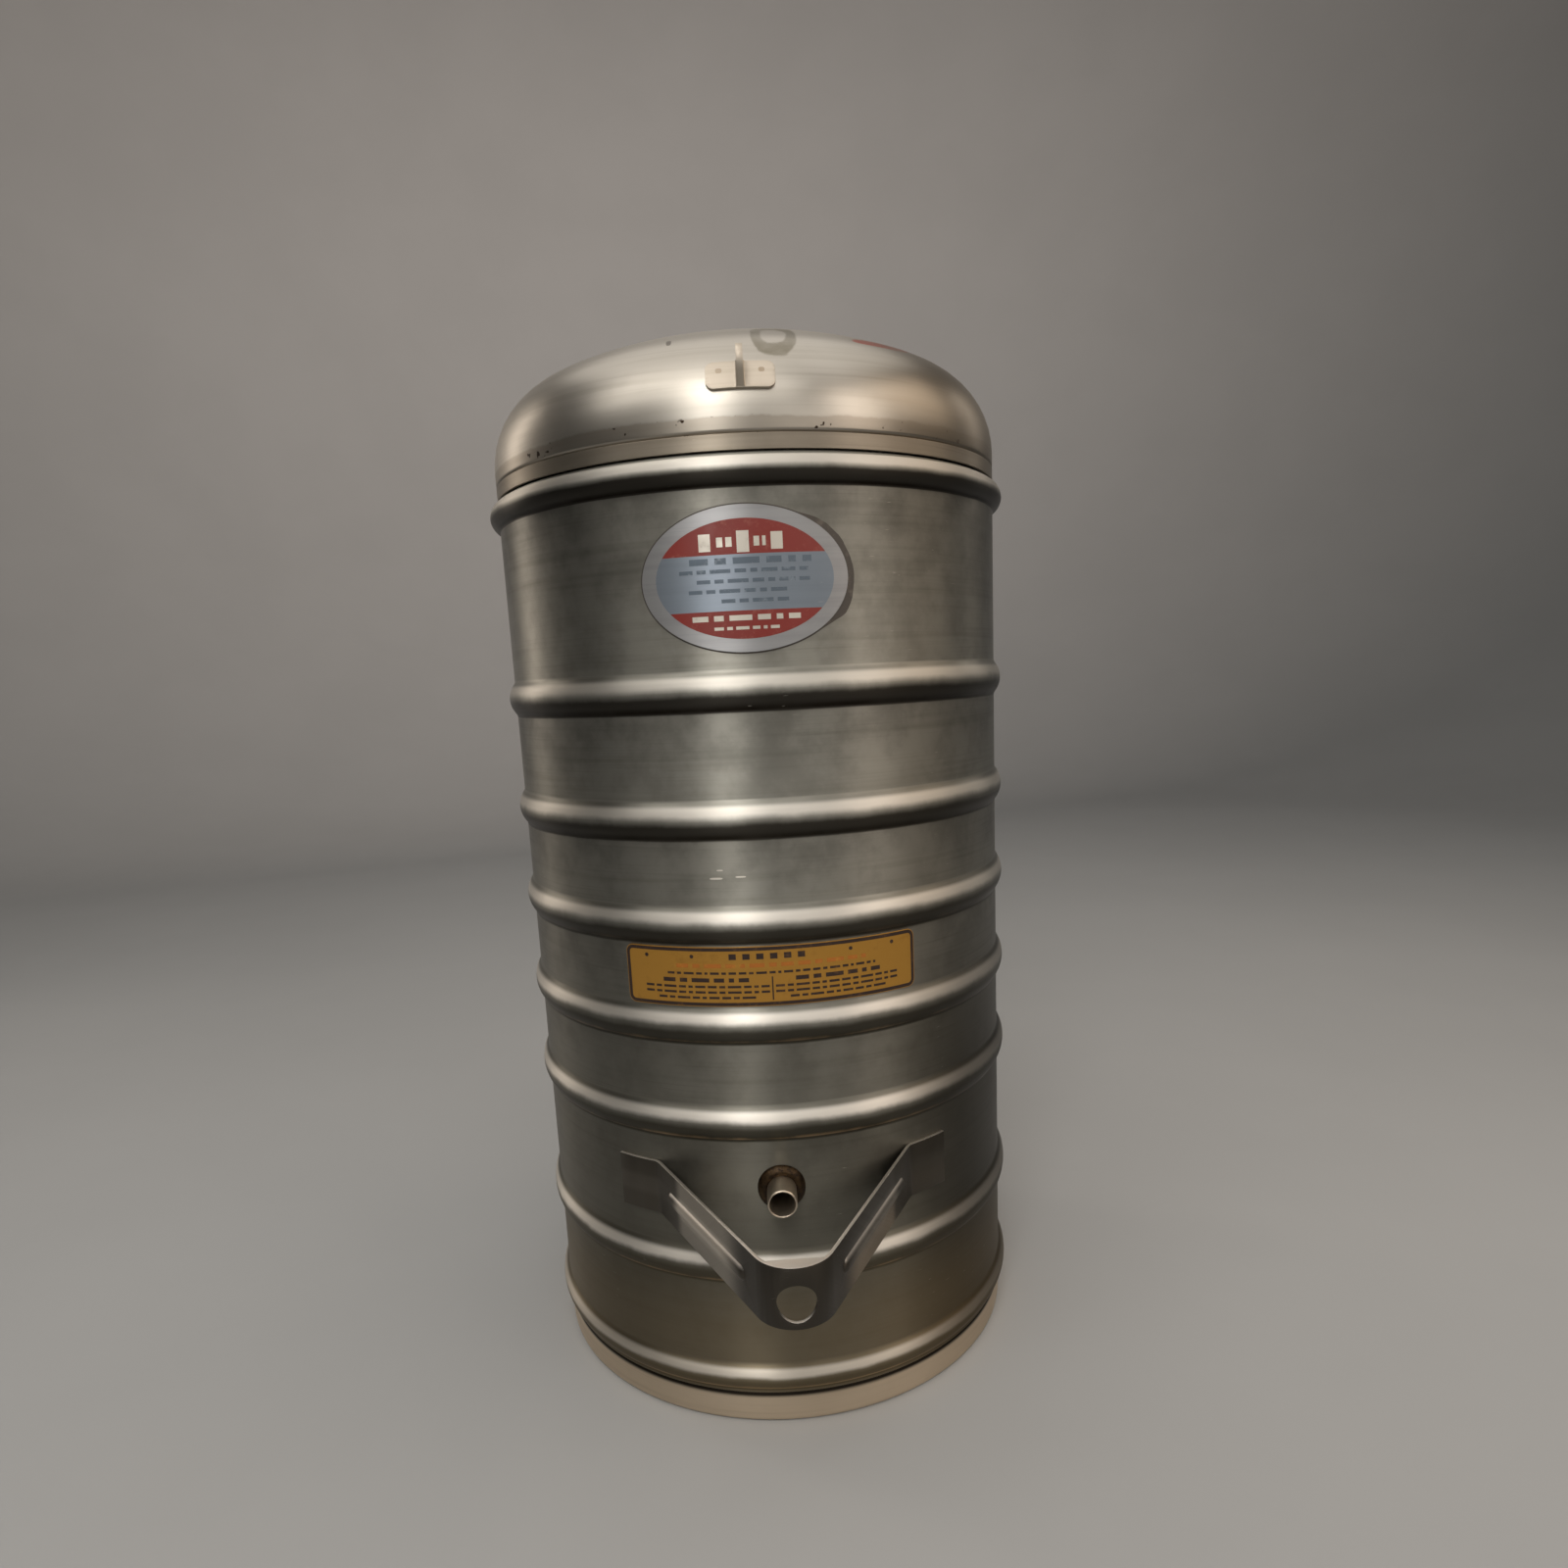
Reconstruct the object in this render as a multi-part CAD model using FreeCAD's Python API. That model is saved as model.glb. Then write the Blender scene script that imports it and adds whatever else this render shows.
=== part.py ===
# Insulated liquid carrier: a ribbed stainless vessel with a vacuum jacket, a lift-off domed lid,
# an outlet tube low on the front and a bent strap that guards the outlet.
# Millimetres, +Z up, front towards -Y. The origin is the centre of the circle the foot stands on.

import FreeCAD, Part
import math
import os

V = FreeCAD.Vector
Z_AXIS = V(0, 0, 1)
ORIGIN = V(0, 0, 0)
PLAN_ORIGIN = (0.0, 0.0)

# Outer shell, rolled from one sheet
wall_radius = 140.0         # outside of the plain wall between the ribs
shell_sheet = 1.0
rib_width = 20.5            # along the wall, over the whole swelling
rib_height = 3.6            # how far the crest stands proud
rib_fold = 3.5              # radius where a rib leaves the wall
chime_width = 17.4          # bottom bead, just above the foot
chime_height = 3.6
bead_width = 15.7           # top bead, just under the lid
bead_height = 4.8
bead_fold = 2.0
shelf_fold = 1.6            # radius where the top edge turns in under the lid

# Heights of the bands, stacked upwards from the foot
foot_height = 18.2
chime_margin = 0.8          # plain edge of the shell under the bottom bead
skirt_band = 64.3           # bottom bead to the lowest rib, crest to crest
outlet_band = 79.5          # lowest rib to the next one, with the outlet between
rib_pitch = 51.5
rib_count = 4               # evenly spaced ribs above the outlet band
upper_band = 60.5           # last even rib to the top rib
label_band = 105.3          # top rib crest to the shelf under the lid

# Foot ring
foot_inset = 0.4            # outside of the ring behind the plain wall of the shell
foot_sheet = 1.2
foot_lip = 9.0              # width of the turned-in lip that stands on the floor
foot_bend = 3.0
foot_step_bend = 1.6        # where the ring steps in to slide up inside the shell
foot_step_slope = 2.0       # rise of that step for each unit inwards
foot_lap = 20.0             # how far the ring goes up inside the shell

# Inner vessel and bottom
vacuum_gap = 12.0
liner_sheet = 0.9
liner_flange = 6.5          # width of the turned-out rim
liner_flange_bend = 1.5
liner_knuckle = 10.0        # cove between wall and floor
floor_rise = 8.0            # the floor is higher in the middle, so it drains to the wall
floor_flat = 42.0           # radius of its level middle
floor_blend = 160.0
bottom_sheet = 1.0
bottom_gap = 10.0           # vacuum gap under the floor
bottom_knuckle = 8.0
bottom_flange = 14.0

# Evacuation tube under the bottom, and its cap
tip_radius = 4.8
tip_wall = 1.2
tip_length = 8.0
pinch_length = 5.0
pinch_thickness = 1.6
pinch_width = 12.0
tip_reach = 2.0             # how far the tube goes up into the vacuum gap
cap_radius = 15.0
cap_depth = 18.0
cap_flange = 4.0
cap_bend = 1.5
cap_knuckle = 4.0
cap_sheet = 0.8

# Outlet
outlet_height = 44.5        # axis above the crest of the lowest rib
outlet_radius = 7.5         # outside of the tube
outlet_wall = 1.1
outlet_reach = 17.5         # how far the mouth stands out from the wall
outlet_entry = 3.6          # how far the tube goes into the vessel
collar_radius = 12.3        # brazed ring on the shell
collar_face_radius = 10.2
collar_thickness = 3.2
ferrule_radius = 10.3       # brazed ring on the inner vessel
ferrule_thickness = 2.2
floor_margin = 1.5          # from the ferrule down to the start of the floor's cove

# Strap that guards the outlet
guard_sheet = 1.6
guard_height = 29.0
guard_drop = 3.5            # strap's middle below the outlet axis
guard_reach = 88.5          # nose beyond the wall
guard_nose_radius = 19.3
guard_bend_radius = 9.0
guard_foot_angle = 28.9     # where the strap leaves the shell, from the strap's own middle, in degrees
guard_foot_sweep = 9.0      # how far each foot goes on around the shell, in degrees
guard_turn = 1.0            # the strap sits slightly askew, in degrees about the vessel's axis
guard_hole_radius = 8.75
guard_hole_drop = 2.5       # hole below the strap's middle
guard_bead_radius = 5.0     # long bead pressed outwards in each arm
guard_bead_height = 1.7
guard_bead_margin = 9.0     # plain length of arm left at both ends of the bead
guard_lip = 1.6             # thickness of the turned-in lip across the top of the nose
guard_lip_angle = 48.0      # half the arc of nose that the lip closes, in degrees

# Plates on the shell
nameplate_half_width = 48.5
nameplate_half_height = 32.5
nameplate_sheet = 0.8
nameplate_turn = -1.1       # degrees to the right of the front
instruction_half_angle = 31.3
instruction_corner = 4.0
instruction_sheet = 0.6
instruction_margin = 0.3    # from the plate's long edges to the ribs
instruction_turn = 0.3      # degrees to the right of the front

# Lid
dome_knuckle = 44.7
dome_crown = 273.0
dome_sheet = 1.0
dome_rise = 15.4            # shelf to where the dome starts to curve
joggle_bend = 1.6
band_sheet = 1.2            # hoop around the foot of the dome
band_height = 7.0
pan_sheet = 0.8
pan_depth = 30.0            # plug below the pan's rim
pan_clearance = 1.5         # between the plug and the inner vessel
pan_bend = 2.0
pan_knuckle = 8.0
gasket_width = 5.6
gasket_thickness = 3.0
gasket_margin = 1.0         # from the pan's bend out to the gasket

# Lugs on the dome, each folded from one strip
lug_count = 3
lug_width = 31.0
lug_length = 13.0
lug_corner = 3.6
lug_sheet = 1.5
lug_root = 1.0              # radius where the fin folds out of the plate
lug_fin_height = 12.0
lug_fin_lean = 3.0          # the fin's tip leans past the plate's upper edge by this much
lug_fin_slope = 5.0         # how far the fin's lower edge leans in over its height
lug_fin_round = 7.0         # radius at the lower end of its crest
lug_fin_tip = 3.5           # radius of its tip
lug_angle = 21.5            # elevation of the lug's middle on the dome's knuckle, in degrees

# Clearances
seat_gap = 0.3              # lid to what it rests on
lap_gap = 0.1               # between sheets that slide into each other before welding
tube_gap = 0.1              # around the outlet tube in the walls it goes through
plate_film = 0.15           # glue between the plates and the shell
cut_over = 1.0              # how far a cutting shape runs on past what it cuts

# Places that follow from the sizes above
foot_radius = wall_radius - foot_inset
chime_z = foot_height + chime_margin + chime_width / 2
low_rib_z = chime_z + skirt_band
even_rib_z = [low_rib_z + outlet_band + i * rib_pitch for i in range(rib_count)]
top_rib_z = even_rib_z[-1] + upper_band
shelf_z = top_rib_z + label_band
bead_z = shelf_z - bead_width / 2
shell_inner = wall_radius - shell_sheet
liner_outer = shell_inner - vacuum_gap
liner_inner = liner_outer - liner_sheet
outlet_z = low_rib_z + outlet_height
floor_z = outlet_z - ferrule_radius - floor_margin - liner_knuckle
bottom_z = floor_z - bottom_gap - bottom_sheet
bottom_middle_z = bottom_z + floor_rise
liner_rim_z = shelf_z + liner_sheet
gasket_z = liner_rim_z + seat_gap
pan_z = gasket_z + gasket_thickness
band_z = shelf_z + seat_gap
skirt_radius = wall_radius - band_sheet
dome_z = shelf_z + dome_rise
pan_radius = liner_inner - pan_clearance


# Sheet profiles in the (radius, height) half-plane

def turned(angle, distance=1.0):
    """Vector of a given length at an angle in degrees from the first axis."""
    return (distance * math.cos(math.radians(angle)), distance * math.sin(math.radians(angle)))


def heading(a, b):
    return math.degrees(math.atan2(b[1] - a[1], b[0] - a[0]))


def bent(corners):
    """Path through corners (x, y, bend radius): straight runs joined by tangent arcs."""
    runs = []
    here = corners[0][:2]
    for before, corner, after in zip(corners, corners[1:], corners[2:]):
        arriving = heading(before, corner)
        leaving = heading(corner, after)
        turn = (leaving - arriving + 180.0) % 360.0 - 180.0
        tangent = corner[2] * math.tan(math.radians(abs(turn) / 2))
        back = turned(arriving, -tangent)
        ahead = turned(leaving, tangent)
        start = (corner[0] + back[0], corner[1] + back[1])
        end = (corner[0] + ahead[0], corner[1] + ahead[1])
        side = math.copysign(90.0, turn)
        to_centre = turned(arriving + side, corner[2])
        centre = (start[0] + to_centre[0], start[1] + to_centre[1])
        if math.dist(here, start) > 1e-6:
            runs.append(("line", here, start))
        if corner[2] > 0:
            runs.append(("arc", centre, corner[2], arriving - side, turn))
        here = end
    last = corners[-1][:2]
    if math.dist(here, last) > 1e-6:
        runs.append(("line", here, last))
    return runs


def shifted(runs, left):
    """The same path moved sideways, to its left where the distance is positive."""
    moved = []
    for run in runs:
        if run[0] == "line":
            side = turned(heading(run[1], run[2]) + 90.0, left)
            ends = [(p[0] + side[0], p[1] + side[1]) for p in run[1:]]
            moved.append(("line", ends[0], ends[1]))
        else:
            radius = run[2] - math.copysign(left, run[4] * left)
            moved.append(("arc", run[1], radius, run[3], run[4]))
    return moved


def run_points(run):
    """Start, middle and end of one run."""
    if run[0] == "line":
        a, b = run[1:]
        return [a, ((a[0] + b[0]) / 2, (a[1] + b[1]) / 2), b]
    points = []
    for share in (0.0, 0.5, 1.0):
        step = turned(run[3] + share * run[4], run[2])
        points.append((run[1][0] + step[0], run[1][1] + step[1]))
    return points


def run_edge(run, place):
    a, m, b = [place(p) for p in run_points(run)]
    if run[0] == "line":
        return Part.LineSegment(a, b).toShape()
    return Part.Arc(a, m, b).toShape()


def upright(p):
    """A profile point in the plane that is revolved."""
    return V(p[0], 0, p[1])


def level(p):
    """A plan point at height zero."""
    return V(p[0], p[1], 0)


def rounded_rectangle(half_width, half_height, corner):
    """Closed path round a plate, from the middle of its lower edge."""
    start = (0.0, -half_height, 0.0)
    signs = ((1, -1), (1, 1), (-1, 1), (-1, -1))
    return bent([start] + [(i * half_width, j * half_height, corner) for i, j in signs] + [start])


def strip_face(runs, thickness, place):
    """Face of a bent sheet seen edge on; the thickness lies to the left where it is positive."""
    far_runs = shifted(runs, thickness)
    start = place(run_points(runs[0])[0])
    end = place(run_points(runs[-1])[2])
    far_start = place(run_points(far_runs[0])[0])
    far_end = place(run_points(far_runs[-1])[2])
    edges = [run_edge(run, place) for run in runs]
    edges.append(Part.LineSegment(end, far_end).toShape())
    edges.extend(run_edge(run, place) for run in reversed(far_runs))
    edges.append(Part.LineSegment(far_start, start).toShape())
    return Part.Face(Part.Wire(edges))


def spun_sheet(corners, thickness):
    """Sheet pressed or rolled to a profile and carried round the vessel's axis."""
    return strip_face(bent(corners), thickness, upright).revolve(ORIGIN, Z_AXIS, 360)


def ring(inner, outer, low, high):
    """Plain hoop of rectangular section."""
    disc = Part.makeCylinder(outer, high - low, V(0, 0, low))
    return disc.cut(Part.makeCylinder(inner, high - low, V(0, 0, low)))


def front_rod(radius, y_near, y_far, z, x=0.0):
    """Cylinder along Y from y_near out to y_far."""
    return Part.makeCylinder(radius, y_near - y_far, V(x, y_near, z), V(0, -1, 0))


def swage(z, width, height, fold):
    """Corners of a rounded swelling rolled outwards into the wall."""
    half = width / 2
    flank = 2 * math.atan(height / half)
    crest = half / math.sin(flank) - fold
    foot = half - fold * math.tan(flank / 2)
    peak = wall_radius + foot * math.tan(flank)
    return [(wall_radius, z - foot, fold), (peak, z, crest), (wall_radius, z + foot, fold)]


def dished(radius, knuckle, crown, z):
    """Corners of a domed end that starts at a wall of this radius at height z."""
    slope = math.asin((radius - knuckle) / (crown - knuckle))
    top = z + crown - math.sqrt((crown - knuckle) ** 2 - (radius - knuckle) ** 2)
    knuckle_z = z + knuckle * math.tan((math.pi / 2 - slope) / 2)
    return [(radius, knuckle_z, knuckle), (crown * math.tan(slope / 2), top, crown), (0.0, top, 0.0)]


def coved_floor(radius, knuckle, z, rise):
    """Corners of a floor that rises gently from a coved edge to a level middle."""
    return [(radius, z, knuckle), (floor_flat, z + rise, floor_blend), (0.0, z + rise, 0.0)]


# Carrier body

def outer_shell():
    corners = [(wall_radius, foot_height, 0.0)]
    corners += swage(chime_z, chime_width, chime_height, rib_fold)
    for z in [low_rib_z] + even_rib_z + [top_rib_z]:
        corners += swage(z, rib_width, rib_height, rib_fold)
    bead = swage(bead_z, bead_width, bead_height, bead_fold)
    corners += bead[:2]
    flank = (bead[1][0] - wall_radius) / (bead[1][1] - bead[0][1])
    shelf_edge = bead[1][0] - flank * (shelf_z - bead_z)
    corners.append((shelf_edge, shelf_z, shelf_fold))
    corners.append((liner_outer + liner_flange_bend, shelf_z, 0.0))
    shell = spun_sheet(corners, shell_sheet)
    hole = front_rod(outlet_radius + tube_gap, -liner_outer, -wall_radius - cut_over, outlet_z)
    return shell.cut(hole)


def foot_ring():
    lap_radius = shell_inner - lap_gap
    step_height = foot_step_slope * (foot_radius - lap_radius)
    corners = [
        (foot_radius - foot_lip, 0.0, 0.0),
        (foot_radius, 0.0, foot_bend),
        (foot_radius, foot_height - step_height, foot_step_bend),
        (lap_radius, foot_height, foot_sheet),
        (lap_radius, foot_height + foot_lap, 0.0),
    ]
    return spun_sheet(corners, foot_sheet)


def bottom_head():
    radius = shell_inner - lap_gap
    corners = [(radius, bottom_z + bottom_flange, 0.0)]
    corners += coved_floor(radius, bottom_knuckle, bottom_z, floor_rise)
    head = spun_sheet(corners, -bottom_sheet)
    return head.cut(Part.makeCylinder(tip_radius, bottom_sheet, V(0, 0, bottom_middle_z)))


def evacuation_tip():
    """Short tube through the bottom, flattened and sealed at its lower end."""
    low = bottom_middle_z - tip_length
    high = bottom_middle_z + bottom_sheet + tip_reach
    tube = Part.makeCylinder(tip_radius, high - low, V(0, 0, low))
    bore = Part.makeCylinder(tip_radius - tip_wall, high - low, V(0, 0, low))
    round_end = Part.Wire([Part.makeCircle(tip_radius, V(0, 0, low))])
    half_x = pinch_width / 2
    half_y = pinch_thickness / 2
    signs = ((1, 1), (-1, 1), (-1, -1), (1, -1), (1, 1))
    flat_end = Part.makePolygon([V(i * half_x, j * half_y, low - pinch_length) for i, j in signs])
    return tube.cut(bore).fuse(Part.makeLoft([round_end, flat_end], True)).removeSplitter()


def tip_cap():
    corners = [
        (cap_radius + cap_flange, bottom_middle_z, 0.0),
        (cap_radius, bottom_middle_z, cap_bend),
        (cap_radius, bottom_middle_z - cap_depth, cap_knuckle),
        (0.0, bottom_middle_z - cap_depth, 0.0),
    ]
    return spun_sheet(corners, cap_sheet)


def inner_vessel():
    corners = [
        (liner_outer + liner_flange_bend + liner_flange, shelf_z, 0.0),
        (liner_outer, shelf_z, liner_flange_bend),
    ]
    corners += coved_floor(liner_outer, liner_knuckle, floor_z, floor_rise)
    vessel = spun_sheet(corners, -liner_sheet)
    hole = front_rod(outlet_radius + tube_gap, -liner_inner + outlet_entry, -liner_outer - cut_over, outlet_z)
    return vessel.cut(hole)


def outlet_tube():
    inside = -liner_inner + outlet_entry
    mouth = -wall_radius - outlet_reach
    tube = front_rod(outlet_radius, inside, mouth, outlet_z)
    return tube.cut(front_rod(outlet_radius - outlet_wall, inside, mouth, outlet_z))


def outlet_collar():
    """Brazed ring on the shell: a low cone whose back follows the wall."""
    depth = wall_radius - shell_sheet
    length = shell_sheet + collar_thickness
    cone = Part.makeCone(collar_radius, collar_face_radius, length, V(0, -depth, outlet_z), V(0, -1, 0))
    bore = front_rod(outlet_radius, -depth, -depth - length, outlet_z)
    wall = Part.makeCylinder(wall_radius, 4 * collar_radius, V(0, 0, outlet_z - 2 * collar_radius))
    return cone.cut(bore).cut(wall)


def outlet_ferrule():
    """Brazed ring inside the inner vessel, cut to the curve of its wall."""
    inside = -liner_inner + ferrule_thickness
    disc = front_rod(ferrule_radius, inside, -liner_inner, outlet_z)
    bore = front_rod(outlet_radius, inside, -liner_inner, outlet_z)
    room = Part.makeCylinder(liner_inner, 4 * ferrule_radius, V(0, 0, outlet_z - 2 * ferrule_radius))
    return disc.cut(bore).common(room)


class GuardPath:
    """Centre line of the strap in plan, for its right half: foot arc, outward bend, arm and nose."""

    def __init__(self):
        self.foot_radius = wall_radius + guard_sheet / 2
        self.bend_radius = guard_bend_radius
        self.nose_radius = guard_nose_radius - guard_sheet / 2
        self.bend_centre = turned(guard_foot_angle - 90.0, self.foot_radius + self.bend_radius)
        self.nose_centre = (0.0, -wall_radius - guard_reach + guard_nose_radius)
        across = math.dist(self.bend_centre, self.nose_centre)
        lean = math.degrees(math.acos((self.bend_radius + self.nose_radius) / across))
        self.bend_angle = heading(self.bend_centre, self.nose_centre) - lean
        self.nose_angle = self.bend_angle + 180.0

    def arm_ends(self, shift):
        """Ends of the straight arm at a distance outside the centre line: shell end, then nose end."""
        bend = turned(self.bend_angle, self.bend_radius - shift)
        nose = turned(self.nose_angle, self.nose_radius + shift)
        return (
            (self.bend_centre[0] + bend[0], self.bend_centre[1] + bend[1]),
            (self.nose_centre[0] + nose[0], self.nose_centre[1] + nose[1]),
        )

    def runs(self):
        """The whole centre line, from the right foot round the nose to the left foot."""
        shell_end, nose_end = self.arm_ends(0.0)
        start = guard_foot_angle - 90.0 + guard_foot_sweep
        towards_axis = guard_foot_angle + 90.0
        bend_turn = (self.bend_angle - towards_axis + 180.0) % 360.0 - 180.0
        half_nose = (-90.0 - self.nose_angle + 180.0) % 360.0 - 180.0
        right = [
            ("arc", PLAN_ORIGIN, self.foot_radius, start, -guard_foot_sweep),
            ("arc", self.bend_centre, self.bend_radius, towards_axis, bend_turn),
            ("line", shell_end, nose_end),
        ]
        nose = ("arc", self.nose_centre, self.nose_radius, self.nose_angle, 2 * half_nose)
        return right + [nose] + [mirrored(run) for run in reversed(right)]


def mirrored(run):
    """The same run on the other side of the middle plane, travelled the other way."""
    if run[0] == "line":
        return ("line", (-run[2][0], run[2][1]), (-run[1][0], run[1][1]))
    end_angle = run[3] + run[4]
    return ("arc", (-run[1][0], run[1][1]), run[2], 180.0 - end_angle, run[4])


def capsule(a, b, radius):
    """Rod with round ends."""
    along = b - a
    rod = Part.makeCylinder(radius, along.Length, a, along)
    return rod.fuse([Part.makeSphere(radius, a), Part.makeSphere(radius, b)])


def other_side(shape):
    """The same shape on the left."""
    return shape.mirror(ORIGIN, V(1, 0, 0))


def arm_beads(path):
    """Long beads of the two arms: what is added outside, and what is hollowed out behind."""
    depth = guard_bead_radius - guard_bead_height
    shell_end, nose_end = path.arm_ends(guard_sheet / 2 - depth)
    a, b = level(shell_end), level(nose_end)
    along = (b - a).normalize()
    inset = guard_bead_margin + guard_bead_radius
    a, b = a + along * inset, b - along * inset
    outward = V(-along.y, along.x, 0)
    block_half = 2 * guard_bead_radius
    block = Part.makeBox((b - a).Length + 2 * block_half, block_half, 2 * block_half)
    block.translate(V(-block_half, 0, -block_half))
    strap_back = a + outward * (depth - guard_sheet)
    to_arm = FreeCAD.Placement(strap_back, FreeCAD.Rotation(along, outward, Z_AXIS))
    block.Placement = to_arm * block.Placement
    ridge = capsule(a, b, guard_bead_radius).common(block)
    groove = capsule(a, b, guard_bead_radius - guard_sheet)
    return [ridge, other_side(ridge)], [groove, other_side(groove)]


def nose_lip(path):
    """Turned-in lip that closes the top of the nose back to a straight edge."""
    radius = path.nose_radius
    centre = path.nose_centre
    arc = ("arc", centre, radius, -90.0 - guard_lip_angle, 2 * guard_lip_angle)
    ends = run_points(arc)
    chord = Part.LineSegment(level(ends[2]), level(ends[0])).toShape()
    web = Part.Face(Part.Wire([run_edge(arc, level), chord])).extrude(V(0, 0, -guard_lip))
    web.translate(V(0, 0, guard_height / 2))
    return web


def faucet_guard():
    path = GuardPath()
    centre_line = path.runs()
    plan = strip_face(shifted(centre_line, guard_sheet / 2), -guard_sheet, level)
    strap = plan.extrude(V(0, 0, guard_height))
    strap.translate(V(0, 0, -guard_height / 2))
    ridges, grooves = arm_beads(path)
    strap = strap.fuse(ridges + [nose_lip(path)]).cut(grooves)
    nose_y = -wall_radius - guard_reach
    hole = front_rod(guard_hole_radius, nose_y + guard_nose_radius, nose_y - cut_over, -guard_hole_drop)
    strap = strap.cut(hole)
    strap.translate(V(0, 0, outlet_z - guard_drop))
    strap.rotate(ORIGIN, Z_AXIS, guard_turn)
    return strap.removeSplitter()


def wall_plate(outline, thickness, middle, half_height):
    """Thin plate curved to the wall, cut by an outline that is pushed through from the front."""
    back = wall_radius + plate_film
    skin = ring(back, back + thickness, middle - half_height - cut_over, middle + half_height + cut_over)
    return skin.common(outline.extrude(V(0, -2 * wall_radius, 0)))


def nameplate():
    middle = (top_rib_z + rib_width / 2 + shelf_z - bead_width) / 2
    oval = Part.Ellipse(V(0, 0, middle), nameplate_half_width, nameplate_half_height).toShape()
    oval.rotate(V(0, 0, middle), V(1, 0, 0), 90)
    outline = Part.Face(Part.Wire([oval]))
    plate = wall_plate(outline, nameplate_sheet, middle, nameplate_half_height)
    plate.rotate(ORIGIN, Z_AXIS, nameplate_turn)
    return plate


def instruction_plate():
    """Long plate between two of the even ribs."""
    middle = (even_rib_z[1] + even_rib_z[2]) / 2
    half_height = (rib_pitch - rib_width) / 2 - instruction_margin
    half_width = wall_radius * math.sin(math.radians(instruction_half_angle))
    runs = rounded_rectangle(half_width, half_height, instruction_corner)
    outline = Part.Face(Part.Wire([run_edge(run, upright) for run in runs]))
    outline.translate(V(0, 0, middle))
    plate = wall_plate(outline, instruction_sheet, middle, half_height)
    plate.rotate(ORIGIN, Z_AXIS, instruction_turn)
    return plate


# Lid body

def dome_corners():
    return dished(wall_radius, dome_knuckle, dome_crown, dome_z)


def lid_dome():
    band_top = band_z + band_height
    corners = [
        (skirt_radius, gasket_z, 0.0),
        (skirt_radius, band_top + lap_gap, dome_sheet),
        (wall_radius, band_top + lap_gap + band_sheet, joggle_bend),
    ]
    return spun_sheet(corners + dome_corners(), dome_sheet)


def lid_band():
    return ring(skirt_radius, wall_radius, band_z, band_z + band_height)


def lid_pan():
    corners = [
        (skirt_radius - dome_sheet, pan_z, 0.0),
        (pan_radius, pan_z, pan_bend),
        (pan_radius, pan_z - pan_depth, pan_knuckle),
        (0.0, pan_z - pan_depth, 0.0),
    ]
    return spun_sheet(corners, -pan_sheet)


def lid_gasket():
    inner = pan_radius + pan_bend + gasket_margin
    return ring(inner, inner + gasket_width, gasket_z, pan_z)


def lug_plate(to_dome):
    """Foot of the lug: a skin of the dome inside a plate outline with rounded corners."""
    runs = rounded_rectangle(lug_width / 2, lug_length / 2, lug_corner)
    outline = Part.Face(Part.Wire([run_edge(run, level) for run in runs]))
    outline.translate(V(0, 0, -lug_length))
    cutter = outline.extrude(V(0, 0, 2 * lug_length))
    cutter.Placement = to_dome * cutter.Placement
    knuckle = bent([(wall_radius, dome_z, 0.0)] + dome_corners())[0]
    skin = strip_face([knuckle], -lug_sheet, upright).revolve(ORIGIN, Z_AXIS, 360)
    return skin.common(cutter)


def lug_fin(to_dome):
    """Standing fold of the lug, two layers thick, with a rounded tip that leans up the dome."""
    half = lug_length / 2
    sink = lug_sheet / 2
    corners = [
        (-half, sink, 0.0),
        (-half + lug_fin_slope, lug_fin_height, lug_fin_round),
        (half + lug_fin_lean, lug_fin_height, lug_fin_tip),
        (half, sink, 0.0),
        (-half, sink, 0.0),
    ]
    side = Part.Face(Part.Wire([run_edge(run, fin_side) for run in bent(corners)]))
    fin = side.extrude(V(2 * lug_sheet, 0, 0))
    fin.translate(V(-lug_sheet, 0, 0))
    fin.Placement = to_dome * fin.Placement
    return fin


def fin_side(p):
    """A point of the fin's side view, in the middle plane of the lug."""
    return V(0, p[0], p[1])


def root_edges(lug, to_dome):
    """The two edges where the fin's sides meet the top of the plate."""
    to_lug = to_dome.inverse()
    found = []
    for edge in lug.Edges:
        middle = to_lug.multVec(edge.CenterOfMass)
        on_side = abs(abs(middle.x) - lug_sheet) < 0.01
        on_plate = abs(middle.y) < lug_root and lug_sheet / 2 < middle.z < lug_sheet + lug_root
        if on_side and on_plate:
            found.append(edge)
    return found


def lid_lug(turn):
    """One lug, on the knuckle of the dome at a given angle round the lid."""
    centre_radius = wall_radius - dome_knuckle
    out, up = turned(lug_angle, dome_knuckle)
    normal = V(0, -math.cos(math.radians(lug_angle)), math.sin(math.radians(lug_angle)))
    slope_up = V(0, math.sin(math.radians(lug_angle)), math.cos(math.radians(lug_angle)))
    place = V(0, -centre_radius - out, dome_z + up)
    to_dome = FreeCAD.Placement(place, FreeCAD.Rotation(V(1, 0, 0), slope_up, normal))
    lug = lug_plate(to_dome).fuse(lug_fin(to_dome)).removeSplitter()
    lug = lug.makeFillet(lug_root, root_edges(lug, to_dome))
    lug.rotate(ORIGIN, Z_AXIS, turn)
    return lug


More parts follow.
